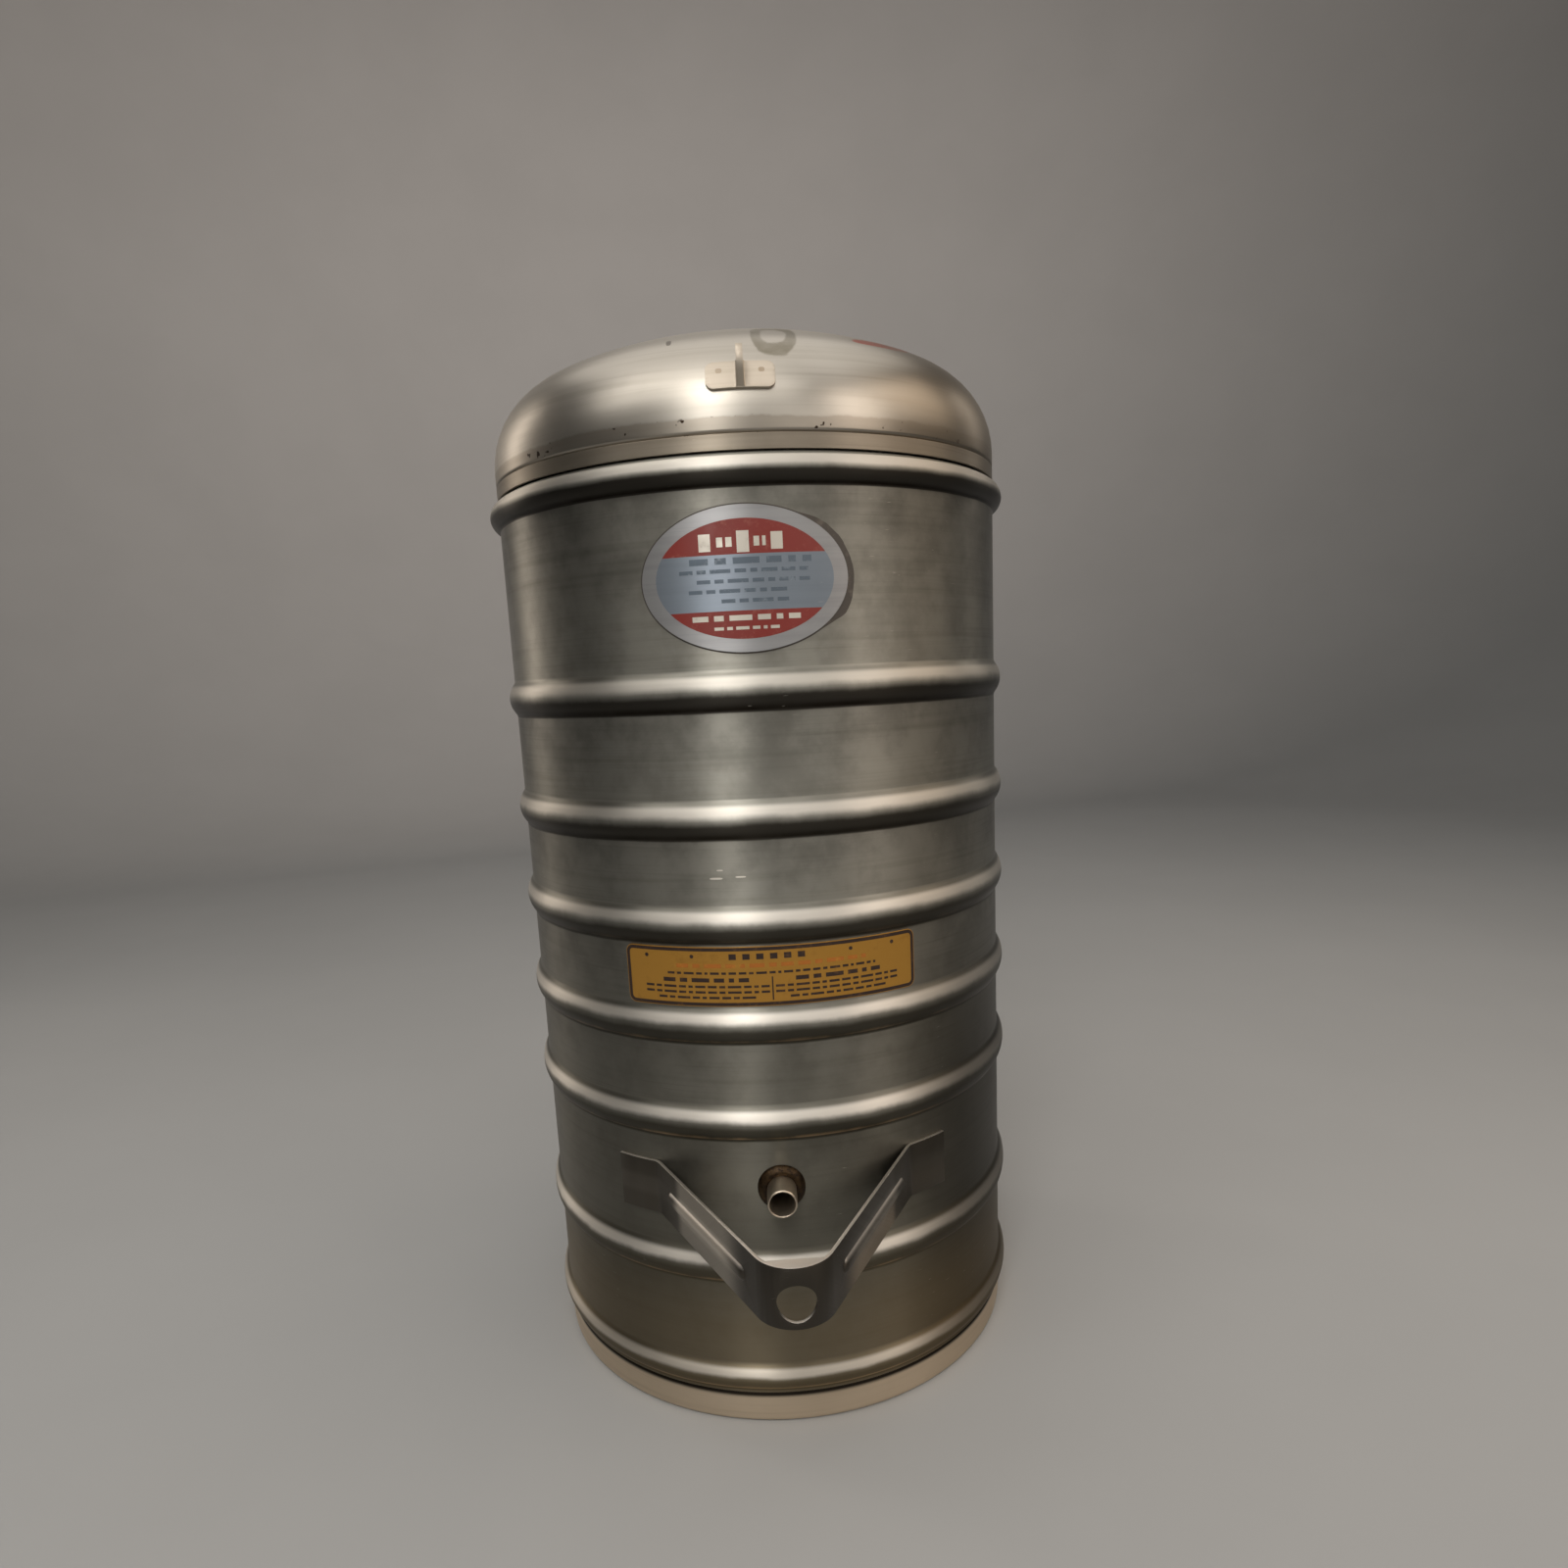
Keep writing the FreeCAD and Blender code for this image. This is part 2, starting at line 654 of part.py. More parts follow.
def build():
    parts = {
        "outer_shell": outer_shell(),
        "foot_ring": foot_ring(),
        "bottom_head": bottom_head(),
        "evacuation_tip": evacuation_tip(),
        "tip_cap": tip_cap(),
        "inner_vessel": inner_vessel(),
        "outlet_tube": outlet_tube(),
        "outlet_collar": outlet_collar(),
        "outlet_ferrule": outlet_ferrule(),
        "faucet_guard": faucet_guard(),
        "nameplate": nameplate(),
        "instruction_plate": instruction_plate(),
        "lid_dome": lid_dome(),
        "lid_band": lid_band(),
        "lid_pan": lid_pan(),
        "lid_gasket": lid_gasket(),
    }
    for i in range(lug_count):
        parts[f"lid_lug_{i + 1}"] = lid_lug(i * 360.0 / lug_count)
    return parts


os.makedirs("parts", exist_ok=True)
for name, shape in build().items():
    shape.exportStep(f"parts/{name}.step")
    print(name, "solids", len(shape.Solids), "valid", shape.isValid(), "volume", round(shape.Volume))
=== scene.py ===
# Looks of the insulated liquid carrier: a worn, ribbed stainless vessel with a domed lift-off lid.
# Sizes are in millimetres where they are named, and become metres when a mesh is finished.

import math

import bmesh
import bpy
from mathutils import Matrix, Vector, noise


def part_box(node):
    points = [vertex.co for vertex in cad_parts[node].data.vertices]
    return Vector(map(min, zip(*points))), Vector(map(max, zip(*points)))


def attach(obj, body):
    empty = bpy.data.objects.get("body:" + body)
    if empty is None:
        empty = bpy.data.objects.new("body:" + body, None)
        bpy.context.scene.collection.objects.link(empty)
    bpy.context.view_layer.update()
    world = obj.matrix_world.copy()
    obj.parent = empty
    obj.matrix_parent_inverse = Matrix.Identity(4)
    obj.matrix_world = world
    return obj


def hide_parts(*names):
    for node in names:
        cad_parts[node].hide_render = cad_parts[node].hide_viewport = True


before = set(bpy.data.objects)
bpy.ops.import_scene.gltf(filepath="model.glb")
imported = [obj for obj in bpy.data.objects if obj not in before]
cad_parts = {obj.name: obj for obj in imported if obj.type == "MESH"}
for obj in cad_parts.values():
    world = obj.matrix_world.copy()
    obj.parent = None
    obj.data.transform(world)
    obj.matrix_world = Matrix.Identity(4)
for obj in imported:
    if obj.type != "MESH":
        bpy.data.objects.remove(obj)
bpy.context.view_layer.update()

MM = 0.001
UP = Vector((0, 0, 1))
RIGHT = Vector((1, 0, 0))
FRONT = Vector((0, -1, 0))
FACING_FRONT = Matrix.Rotation(math.pi / 2, 4, "X")     # stands flat work upright
ROUND_STEPS = 240           # columns around the vessel; one of them lies exactly at the front
OUTLET_STEPS = 64           # columns around the outlet
ARC_STEP = math.radians(9)  # longest step along a bend of the sheet, as a turn
ARC_CHORD = 6.0             # and as a length
STRIP = 3.0                 # width of the strips that let flat work follow the wall
MERGE = 0.002               # points closer than this are one point

# Carrier: the sheet's profile, as the shop would write it down
wall_radius = 140.0
shell_sheet = 1.0
rib_width, rib_height, rib_fold = 20.5, 3.6, 3.5
chime_width, chime_height = 17.4, 3.6
bead_width, bead_height, bead_fold = 15.7, 4.8, 2.0
shelf_fold = 1.6
foot_height = 18.2
chime_z = 27.7
low_rib_z = 92.0
rib_pitch = 51.5
even_rib_z = [171.5 + i * rib_pitch for i in range(4)]
top_rib_z = 386.5
shelf_z = 491.8
bead_z = 483.95
foot_radius, foot_sheet, foot_lip, foot_bend, foot_lap = 139.6, 1.2, 9.0, 3.0, 20.0
lap_radius = 138.9

# Inner vessel and bottom
liner_outer, liner_sheet = 127.0, 0.9
liner_flange, liner_flange_bend, liner_knuckle = 6.5, 1.5, 10.0
outlet_z = 136.5
floor_z = 114.7
floor_rise, floor_flat, floor_blend = 8.0, 42.0, 160.0
bottom_z, bottom_sheet, bottom_knuckle, bottom_flange = 103.7, 1.0, 8.0, 14.0
cup_brim, cup_radius, cup_depth, cup_sheet, cup_brim_bend, cup_bend = 19.0, 15.0, 18.0, 0.8, 1.5, 4.0

# Outlet
tube_radius, tube_wall, tube_mouth, tube_end = 7.5, 1.1, 157.5, 122.5
collar_radius, collar_face_radius, collar_thickness = 12.3, 10.2, 3.2
ferrule_radius, ferrule_thickness = 10.3, 2.2
shell_hole = (7.4, 8.0)     # half width and half height of the opening behind the collar
liner_hole = (6.7, 7.6)

# Lid
dome_knuckle, dome_crown, dome_sheet, dome_z = 44.7, 273.0, 1.0, 507.2
joggle_bend = 1.6
band_sheet, band_z = 1.2, 492.1
pan_radius, pan_sheet, pan_z, pan_depth, pan_bend, pan_knuckle = 124.6, 0.8, 496.0, 30.0, 2.0, 8.0
gasket_inner, gasket_outer, gasket_z, gasket_height = 127.6, 133.2, 493.0, 3.0
skirt_radius = 138.8

# Plates on the shell
nameplate_turn = math.radians(-1.1)
nameplate_half_width, nameplate_half_height = 48.5, 32.5
instruction_turn = math.radians(0.3)
instruction_half_angle = math.radians(31.3)
plate_film = 0.15           # glue between the plates and the shell
nameplate_skin = plate_film + 0.8
instruction_skin = plate_film + 0.6
ink = 0.05
long_and_short = (6, 4, 9, 5, 3, 7)     # lengths of the bars in a row of small print


# Meshes

def finish_mesh(name, bm, material, body, node=None, scale=MM):
    """Turns a bmesh in millimetres into a piece that rides on its body."""
    bmesh.ops.scale(bm, vec=(scale, scale, scale), verts=bm.verts)
    mesh = bpy.data.meshes.new(name)
    bm.to_mesh(mesh)
    bm.free()
    mesh.polygons.foreach_set("use_smooth", [True] * len(mesh.polygons))
    mesh.materials.append(material)
    piece = bpy.data.objects.new(name, mesh)
    bpy.context.scene.collection.objects.link(piece)
    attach(piece, body)
    if node:
        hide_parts(node)
    return piece


def draw_profile(corners):
    """Edge line of a bent sheet: straight runs drawn by extruding a point, bends by spinning it.
    A corner is its distance from the vessel's axis, its height and the radius of its bend."""
    bm = bmesh.new()
    pen = bm.verts.new((corners[0][0], 0, corners[0][1]))
    for before, corner, after in zip(corners, corners[1:], corners[2:]):
        arriving = math.atan2(corner[1] - before[1], corner[0] - before[0])
        leaving = math.atan2(after[1] - corner[1], after[0] - corner[0])
        turn = (leaving - arriving + math.pi) % (2 * math.pi) - math.pi
        radius = corner[2]
        tangent = radius * math.tan(abs(turn) / 2)
        start = Vector((corner[0] - tangent * math.cos(arriving), 0,
                        corner[1] - tangent * math.sin(arriving)))
        side = arriving + math.copysign(math.pi / 2, turn)
        centre = start + radius * Vector((math.cos(side), 0, math.sin(side)))
        pen = bmesh.ops.extrude_vert_indiv(bm, verts=[pen])["verts"][0]
        pen.co = start
        steps = max(1, math.ceil(abs(turn) / ARC_STEP), math.ceil(radius * abs(turn) / ARC_CHORD))
        bend = bmesh.ops.spin(bm, geom=[pen], cent=centre, axis=(0, -1, 0), angle=turn, steps=steps)
        pen = [v for v in bend["geom_last"] if isinstance(v, bmesh.types.BMVert)][0]
    last = bmesh.ops.extrude_vert_indiv(bm, verts=[pen])["verts"][0]
    last.co = (corners[-1][0], 0, corners[-1][1])
    bmesh.ops.remove_doubles(bm, verts=bm.verts, dist=MERGE)
    return bm


def carry_round(bm, steps, centre=(0, 0, 0), axis=UP):
    """Carries a profile once round an axis."""
    bmesh.ops.spin(bm, geom=bm.verts[:] + bm.edges[:], cent=centre, axis=axis, angle=2 * math.pi, steps=steps,
                   use_merge=True)
    bmesh.ops.remove_doubles(bm, verts=bm.verts, dist=MERGE)


def cut(bm, place, facing, **side):
    """Cuts all of a shape along a plane."""
    bmesh.ops.bisect_plane(bm, geom=bm.verts[:] + bm.edges[:] + bm.faces[:], plane_co=place, plane_no=facing,
                           **side)


def break_edges(piece, width, segments=2, sharp=40):
    """Takes the sharpness off edges that turn by more than this many degrees."""
    bevel = piece.modifiers.new("broken edges", "BEVEL")
    bevel.width = width * MM
    bevel.segments = segments
    bevel.limit_method = "ANGLE"
    bevel.angle_limit = math.radians(sharp)
    bevel.harden_normals = True


def spun_sheet(name, corners, sheet, material, body, node, hole=None, edge=0.2):
    """Sheet rolled or pressed to a profile; the thickness lies left of the way it is drawn, if positive."""
    bm = draw_profile(corners)
    carry_round(bm, ROUND_STEPS)
    if sheet > 0:
        bmesh.ops.reverse_faces(bm, faces=bm.faces)
    if hole:
        cut_outlet_hole(bm, *hole)
    piece = finish_mesh(name, bm, material, body, node)
    solidify = piece.modifiers.new("sheet", "SOLIDIFY")
    solidify.thickness = abs(sheet) * MM
    solidify.offset = -1.0
    solidify.use_even_offset = True
    break_edges(piece, edge)


def cut_outlet_hole(bm, half_width, half_height):
    """Opening for the outlet tube in the front of a wall; a brazed ring covers its edge."""
    for z in (outlet_z - half_height, outlet_z + half_height):
        cut(bm, (0, 0, z), UP)
    inside = []
    for face in bm.faces:
        middle = face.calc_center_median()
        if middle.y < 0 and abs(middle.x) < half_width and abs(middle.z - outlet_z) < half_height:
            inside.append(face)
    bmesh.ops.delete(bm, geom=inside, context="FACES")


def swage(z, width, height, fold):
    """Corners of a rounded swelling rolled outwards into the wall."""
    half = width / 2
    flank = 2 * math.atan(height / half)
    crest = half / math.sin(flank) - fold
    foot = half - fold * math.tan(flank / 2)
    return [
        (wall_radius, z - foot, fold),
        (wall_radius + foot * math.tan(flank), z, crest),
        (wall_radius, z + foot, fold),
    ]


def dished(radius, knuckle, crown, z):
    """Corners of a domed end that starts at a wall of this radius at height z."""
    slope = math.asin((radius - knuckle) / (crown - knuckle))
    top = z + crown - math.sqrt((crown - knuckle) ** 2 - (radius - knuckle) ** 2)
    knuckle_z = z + knuckle * math.tan((math.pi / 2 - slope) / 2)
    return [(radius, knuckle_z, knuckle), (crown * math.tan(slope / 2), top, crown), (0.0, top, 0.0)]


def coved_floor(radius, knuckle, z):
    """Corners of a floor that rises gently to a flat middle."""
    return [(radius, z, knuckle), (floor_flat, z + floor_rise, floor_blend), (0.0, z + floor_rise, 0.0)]


def turned_on_outlet(name, outline, material, node):
    """Closed outline (radius, distance in front of the vessel's axis) turned about the outlet's axis."""
    bm = bmesh.new()
    loop = [bm.verts.new((r, -y, outlet_z)) for r, y in outline]
    for a, b in zip(loop, loop[1:] + loop[:1]):
        bm.edges.new((a, b))
    carry_round(bm, OUTLET_STEPS, (0, 0, outlet_z), FRONT)
    bmesh.ops.recalc_face_normals(bm, faces=bm.faces)
    piece = finish_mesh(name, bm, material, "carrier", node)
    break_edges(piece, 0.3, segments=3, sharp=35)


def refined(name, node, material, body, edge=0.3):
    """A CAD node's own mesh, joined up and with its edges broken."""
    bm = bmesh.new()
    bm.from_mesh(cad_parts[node].data)
    bmesh.ops.remove_doubles(bm, verts=bm.verts, dist=MERGE * MM)
    bmesh.ops.dissolve_limit(bm, angle_limit=math.radians(0.5), verts=bm.verts, edges=bm.edges)
    piece = finish_mesh(name, bm, material, body, node, scale=1.0)
    break_edges(piece, edge, sharp=35)


def wrap_on_wall(bm, middle, radius, turn):
    """Bends flat work in the XZ plane (width, height) round the shell, facing the front."""
    for vert in bm.verts:
        angle = vert.co.x / radius + turn
        out = radius - vert.co.y
        vert.co = (out * math.sin(angle), -out * math.cos(angle), middle + vert.co.z)


def split_for_wrapping(bm, half_width):
    """Cuts flat work into upright strips, so that it can follow the curve of the wall."""
    count = int(half_width / STRIP)
    for i in range(-count, count + 1):
        cut(bm, (i * STRIP, 0, 0), RIGHT)


def bar(bm, x, z, width, height):
    """One flat printed bar, centred at (x, z)."""
    place = Matrix.Translation((x, 0, z)) @ FACING_FRONT @ Matrix.Diagonal((width / 2, height / 2, 1, 1))
    bmesh.ops.create_grid(bm, x_segments=1, y_segments=1, size=1.0, matrix=place)


def oval(bm, half_width, half_height, segments=128):
    """Flat oval, centred."""
    place = FACING_FRONT @ Matrix.Diagonal((half_width, half_height, 1, 1))
    bmesh.ops.create_circle(bm, cap_ends=True, segments=segments, radius=1.0, matrix=place)


def rounded_plate(bm, half_width, half_height, corner):
    """Flat oblong with rounded corners, centred."""
    place = FACING_FRONT @ Matrix.Diagonal((half_width, half_height, 1, 1))
    bmesh.ops.create_grid(bm, x_segments=1, y_segments=1, size=1.0, matrix=place)
    bmesh.ops.bevel(bm, geom=bm.verts[:], offset=corner, offset_type="OFFSET", segments=6, profile=0.5,
                    affect="VERTICES", material=-1)


def curved_to_wall(name, bm, half_width, middle, back, thickness, material, turn, node):
    """Thin piece made of flat work in the XZ plane: it follows the wall, with its back this far off it."""
    split_for_wrapping(bm, half_width)
    wrap_on_wall(bm, middle, wall_radius + back + thickness, turn)
    bm.normal_update()
    for face in bm.faces:
        centre = face.calc_center_median()
        if face.normal.dot((centre.x, centre.y, 0)) < 0:
            face.normal_flip()
    bmesh.ops.solidify(bm, geom=bm.faces[:], thickness=thickness)
    bmesh.ops.recalc_face_normals(bm, faces=bm.faces)
    piece = finish_mesh(name, bm, material, "carrier", node)
    piece.data.set_sharp_from_angle(angle=math.radians(30))
    return piece


def print_row(bm, x, z, width, height, rhythm=(5, 3, 7, 4, 2, 6, 3, 5)):
    """A printed line as a row of plain bars, centred at (x, z); the rhythm gives their lengths in turn."""
    gap, unit = 1.1 * height, 0.62 * height
    left, end, count = x - width / 2, x + width / 2, 0
    while left < end - height:
        length = min(rhythm[count % len(rhythm)] * unit, end - left)
        bar(bm, left + length / 2, z, length, height)
        left += length + gap
        count += 1


# Materials

def srgb(code):
    """Linear colour of an sRGB hex value."""
    values = [int(code[i:i + 2], 16) / 255 for i in (1, 3, 5)]
    linear = [v / 12.92 if v <= 0.04045 else ((v + 0.055) / 1.055) ** 2.4 for v in values]
    return (*linear, 1.0)


def add(tree, kind, inputs=None, **settings):
    """Adds one node with its settings, plain values and links."""
    node = tree.nodes.new("ShaderNode" + kind)
    for name, value in settings.items():
        setattr(node, name, value)
    for name, value in (inputs or {}).items():
        if isinstance(value, bpy.types.NodeSocket):
            tree.links.new(value, node.inputs[name])
        else:
            node.inputs[name].default_value = value
    return node


def new_material(name):
    material = bpy.data.materials.new(name)
    material.use_nodes = True
    material.node_tree.nodes.clear()
    return material, material.node_tree


def share_where(tree, strength, *limits):
    """Share that rises smoothly to its strength while each value goes from its outside to its inside.
    A limit's fourth number, if any, is the part of the share that is left outside."""
    share = strength
    for value, outside, inside, *left in limits:
        least = 0.0
        if left:
            least = add(tree, "Math", {0: share, 1: left[0]}, operation="MULTIPLY").outputs[0]
        step = add(tree, "MapRange", {"Value": value, "From Min": outside, "From Max": inside,
                                      "To Min": least, "To Max": share}, interpolation_type="SMOOTHSTEP")
        share = step.outputs["Result"]
    return share


def cover(tree, colour, code, strength, *limits):
    """Lets another colour come over the first one, as far as its share goes."""
    share = share_where(tree, strength, *limits)
    return add(tree, "Mix", {0: share, 6: colour, 7: srgb(code)}, data_type="RGBA").outputs[2]


def ragged(tree, value, patch, amount):
    """A value that is shifted up and down in patches, so that the edges it gives are uneven."""
    shift = add(tree, "MapRange", {"Value": patch, "From Min": 0.3, "From Max": 0.7, "To Min": -amount,
                                   "To Max": amount}, interpolation_type="SMOOTHSTEP")
    return add(tree, "Math", {0: value, 1: shift.outputs["Result"]}, operation="ADD").outputs[0]


def vessel_values(tree):
    """What a spot on the vessel knows of itself: x, y, z, distance from the axis and how far it looks up."""
    spot = add(tree, "TexCoord")
    x, y, z = add(tree, "SeparateXYZ", {0: spot.outputs["Object"]}).outputs
    upward = add(tree, "SeparateXYZ", {0: spot.outputs["Normal"]}).outputs[2]
    flat = add(tree, "VectorMath", {0: spot.outputs["Object"], 1: (1, 1, 0)}, operation="MULTIPLY")
    radius = add(tree, "VectorMath", {0: flat.outputs[0]}, operation="LENGTH").outputs["Value"]
    return x, y, z, radius, upward


def brushed(tree, run, length_mm, pitch_mm, detail=2.0):
    """Marks that run round the vessel: long around it, fine along its profile."""
    around, across = 1 / (length_mm * MM), 1 / (pitch_mm * MM)
    drawn_out = add(tree, "VectorMath", {0: run, 1: (around, around, across)}, operation="MULTIPLY")
    return add(tree, "TexNoise", {"Vector": drawn_out.outputs[0], "Scale": 1.0, "Detail": detail,
                                  "Roughness": 0.6}).outputs["Fac"]


def blotches(tree, size_mm, detail=4.0, roughness=0.6):
    """Cloudy pattern on a piece, with blotches of about this size."""
    place = add(tree, "TexCoord").outputs["Object"]
    return add(tree, "TexNoise", {"Vector": place, "Scale": 1 / (size_mm * MM), "Detail": detail,
                                  "Roughness": roughness}).outputs["Fac"]


def shaded_and_lit_ribs(tree, colour, rib_shade, z, radius, upward, patch):
    """Painted shade in the creases where a rib leaves the wall and on the ribs' undersides, broken up in
    patches.
    The crests get a painted highlight and are a little rougher, so that their light runs on as one long line."""
    def proud(height):
        """Distance from the axis of what stands this far out of the wall."""
        return (wall_radius + height) * MM

    facing = ragged(tree, upward, patch, 0.04)
    # Painted shade: near black in the rib creases, most where they face down, and on the undersides
    colour = cover(tree, colour, "#1c1712", rib_shade, (radius, proud(0.02), proud(0.4)),
                   (radius, proud(2.6), proud(0.5)), (facing, 0.3, -0.25, 0.22), (patch, 0.3, 0.62, 0.6))
    colour = cover(tree, colour, "#1f1a15", 0.96 * rib_shade, (facing, 0.13, -0.24))

    # Painted shade: darker lower down; and a painted reflection of the tan floor on the undersides of its low
    # ribs
    colour = cover(tree, colour, "#59564b", 0.75, (z, 400 * MM, 40 * MM))
    colour = cover(tree, colour, "#b59a76", 0.75, (z, 300 * MM, 130 * MM), (facing, -0.5, -0.62))
    # Painted highlight: the rib crests lighter, a little less so lower down
    crest = share_where(tree, 1.0, (radius, proud(0.8), proud(2.4)), (facing, 0.0, 0.28))
    return cover(tree, colour, "#f6f2ea", crest, (z, 440 * MM, 180 * MM, 0.7)), crest


def stained_foot(tree, colour, z, patch, low, high, code, strength):
    """Brown stain between two heights, with an uneven upper edge and black specks in it."""
    edge = add(tree, "Math", {0: patch, 1: 5 * MM, 2: z}, operation="MULTIPLY_ADD").outputs[0]
    inside = ((edge, (low + 1.0) * MM, (low + 3.5) * MM), (edge, (high + 3.4) * MM, (high + 2.0) * MM))
    colour = cover(tree, colour, code, strength, *inside)
    specks = blotches(tree, size_mm=5, detail=2.0)
    return cover(tree, colour, "#2e2118", 1.0, *inside, (specks, 0.66, 0.71))


def old_mark(tree, colour, x, y, along, patch, x_mm, along_mm, half_x, half_along, hollow, code, strength):
    """Spot of old paint or a scuff on the front, with a square-shouldered outline; it may be hollow."""
    reach = 0.0
    for value, middle, half in ((x, x_mm, half_x), (along, along_mm, half_along)):
        offset = add(tree, "Math", {0: value, 1: middle * MM}, operation="SUBTRACT").outputs[0]
        share = add(tree, "Math", {0: offset, 1: half * MM}, operation="DIVIDE").outputs[0]
        size = add(tree, "Math", {0: share}, operation="ABSOLUTE").outputs[0]
        cube = add(tree, "Math", {0: size, 1: 3.0}, operation="POWER").outputs[0]
        reach = add(tree, "Math", {0: cube, 1: reach}, operation="ADD").outputs[0]
    reach = add(tree, "Math", {0: reach, 1: 1 / 3}, operation="POWER").outputs[0]
    reach = ragged(tree, reach, patch, 0.06)
    inside = [(patch, 0.3, 0.6, 0.6), (reach, 1.02, 0.92), (y, 0.0, -MM)]
    if hollow:
        inside.append((reach, hollow - 0.06, hollow + 0.06))
    return cover(tree, colour, code, strength, *inside)


def satin_stainless(name, clean, dull, dirt, rough=0.3, aniso=0.6, rib_shade=0.0, stain=None, wobble_mm=0.12,
                    scratches=0.5, rubbed=0.0, painted_light=(), marks=()):
    """Worn satin stainless sheet, brushed round the vessel: long soft streaks of light, up and down."""
    material, tree = new_material(name)
    x, y, z, radius, upward = vessel_values(tree)
    along = add(tree, "Math", {0: z, 1: radius}, operation="SUBTRACT").outputs[0]
    run = add(tree, "CombineXYZ", {0: x, 1: y, 2: along}).outputs[0]

    # Brushing of real satin sheet is finer than 0.1 mm: it is drawn as coarse as it needs to show
    fine = brushed(tree, run, length_mm=70, pitch_mm=0.7)
    broad = brushed(tree, run, length_mm=160, pitch_mm=5.0)
    cloud = blotches(tree, size_mm=85, detail=2.0, roughness=0.5)
    patch = blotches(tree, size_mm=22, detail=6.0)

    # Handled metal: dull clouds, darker where it has been wiped least
    colour = cover(tree, srgb(clean), dull, 0.3, (cloud, 0.3, 0.72))
    colour = cover(tree, colour, dull, 0.4, (broad, 0.45, 0.75))
    colour = cover(tree, colour, dull, 0.25, (fine, 0.55, 0.75))
    colour = cover(tree, colour, dirt, 0.08, (patch, 0.5, 0.8))

    crest = 0.0
    # Painted shade and painted highlights on the ribs
    if rib_shade:
        colour, crest = shaded_and_lit_ribs(tree, colour, rib_shade, z, radius, upward, patch)
    if stain:
        colour = stained_foot(tree, colour, z, patch, *stain)
    for mark in marks:
        colour = old_mark(tree, colour, x, y, along, patch, *mark)

    # Painted light and shade: a lighter or darker colour that comes in along one or more axes
    axes = {"x": x, "y": y, "z": z}
    for code, strength, *ranges in painted_light:
        inside = [(axes[axis], outer * MM, inner * MM) for axis, outer, inner in ranges]
        colour = cover(tree, colour, code, strength, *inside)

    # Faces that look up may get a painted highlight; short scuffs show where things have rubbed round it
    if rubbed:
        colour = cover(tree, colour, "#f2eee8", rubbed, (upward, 0.35, 0.9))
    scuff = brushed(tree, run, length_mm=7, pitch_mm=0.5, detail=1.0)
    colour = cover(tree, colour, "#e6e0d6", scratches, (scuff, 0.74, 0.84), (cloud, 0.5, 0.66))

    roughness = rough - 0.03
    dull_cloud = share_where(tree, 1.0, (cloud, 0.3, 0.75))
    dull_patch = share_where(tree, 1.0, (patch, 0.45, 0.8))
    for pattern, gain in ((fine, 0.10), (dull_cloud, 0.05), (dull_patch, 0.03), (crest, 0.08)):
        rougher = add(tree, "Math", {0: pattern, 1: gain, 2: roughness}, operation="MULTIPLY_ADD")
        roughness = rougher.outputs[0]

    # Dents of a hand's breadth, then the brushing itself
    wave = blotches(tree, size_mm=60, detail=0.5, roughness=0.4)
    dents = add(tree, "Bump", {"Height": wave, "Distance": wobble_mm * MM, "Strength": 1.0})
    lines = add(tree, "Bump", {"Height": fine, "Distance": 0.006 * MM, "Strength": 1.0,
                               "Normal": dents.outputs[0]})
    tangent = add(tree, "Tangent", direction_type="RADIAL", axis="Z")
    shader = add(tree, "BsdfPrincipled", {"Base Color": colour, "Metallic": 1.0, "Roughness": roughness,
                                          "Anisotropic": aniso, "Anisotropic Rotation": 0.25,
                                          "Tangent": tangent.outputs[0], "Normal": lines.outputs[0]})
    add(tree, "OutputMaterial", {"Surface": shader.outputs[0]})
    return material


def shine_and_lumps(tree, colour, worn, smooth, rough, lumps, depth_mm, metallic=0.0):
    """Ends a plain material: it gets rougher with one pattern, and its surface rises with another."""
    roughness = add(tree, "MapRange", {"Value": worn, "From Min": 0.3, "From Max": 0.7, "To Min": smooth,
                                       "To Max": rough}, interpolation_type="SMOOTHSTEP")
    bump = add(tree, "Bump", {"Height": lumps, "Distance": depth_mm * MM, "Strength": 1.0})
    shader = add(tree, "BsdfPrincipled", {"Base Color": colour, "Metallic": metallic,
                                          "Roughness": roughness.outputs["Result"],
                                          "Normal": bump.outputs[0]})
    add(tree, "OutputMaterial", {"Surface": shader.outputs[0]})


def braze_metal():
    """Brazing left heat-darkened: brown, lumpy and only half shiny."""
    material, tree = new_material("heat_darkened_braze")
    lump = blotches(tree, size_mm=3.5, detail=3.0)
    soot = blotches(tree, size_mm=1.2, detail=5.0)
    colour = cover(tree, srgb("#261c11"), "#43331f", 1.0, (lump, 0.35, 0.65))
    colour = cover(tree, colour, "#1a120c", 1.0, (soot, 0.5, 0.7))
    shine_and_lumps(tree, colour, soot, 0.32, 0.6, lump, depth_mm=0.25, metallic=0.75)
    return material


def dull_copper():
    """Soft copper tube, pinched off and left to go brown."""
    material, tree = new_material("dull_copper")
    tarnish = blotches(tree, size_mm=4.0)
    colour = cover(tree, srgb("#a8623c"), "#5c3a28", 1.0, (tarnish, 0.4, 0.65))
    shine_and_lumps(tree, colour, tarnish, 0.35, 0.55, tarnish, depth_mm=0.08, metallic=1.0)
    return material


def black_rubber():
    """Soft nitrile rubber: matt black with a faint bloom."""
    material, tree = new_material("black_nitrile_rubber")
    bloom = blotches(tree, size_mm=8.0)
    grain = blotches(tree, size_mm=0.6, detail=2.0)
    colour = cover(tree, srgb("#1b1a19"), "#34322f", 1.0, (bloom, 0.4, 0.7))
    shine_and_lumps(tree, colour, bloom, 0.6, 0.8, grain, depth_mm=0.03)
    return material


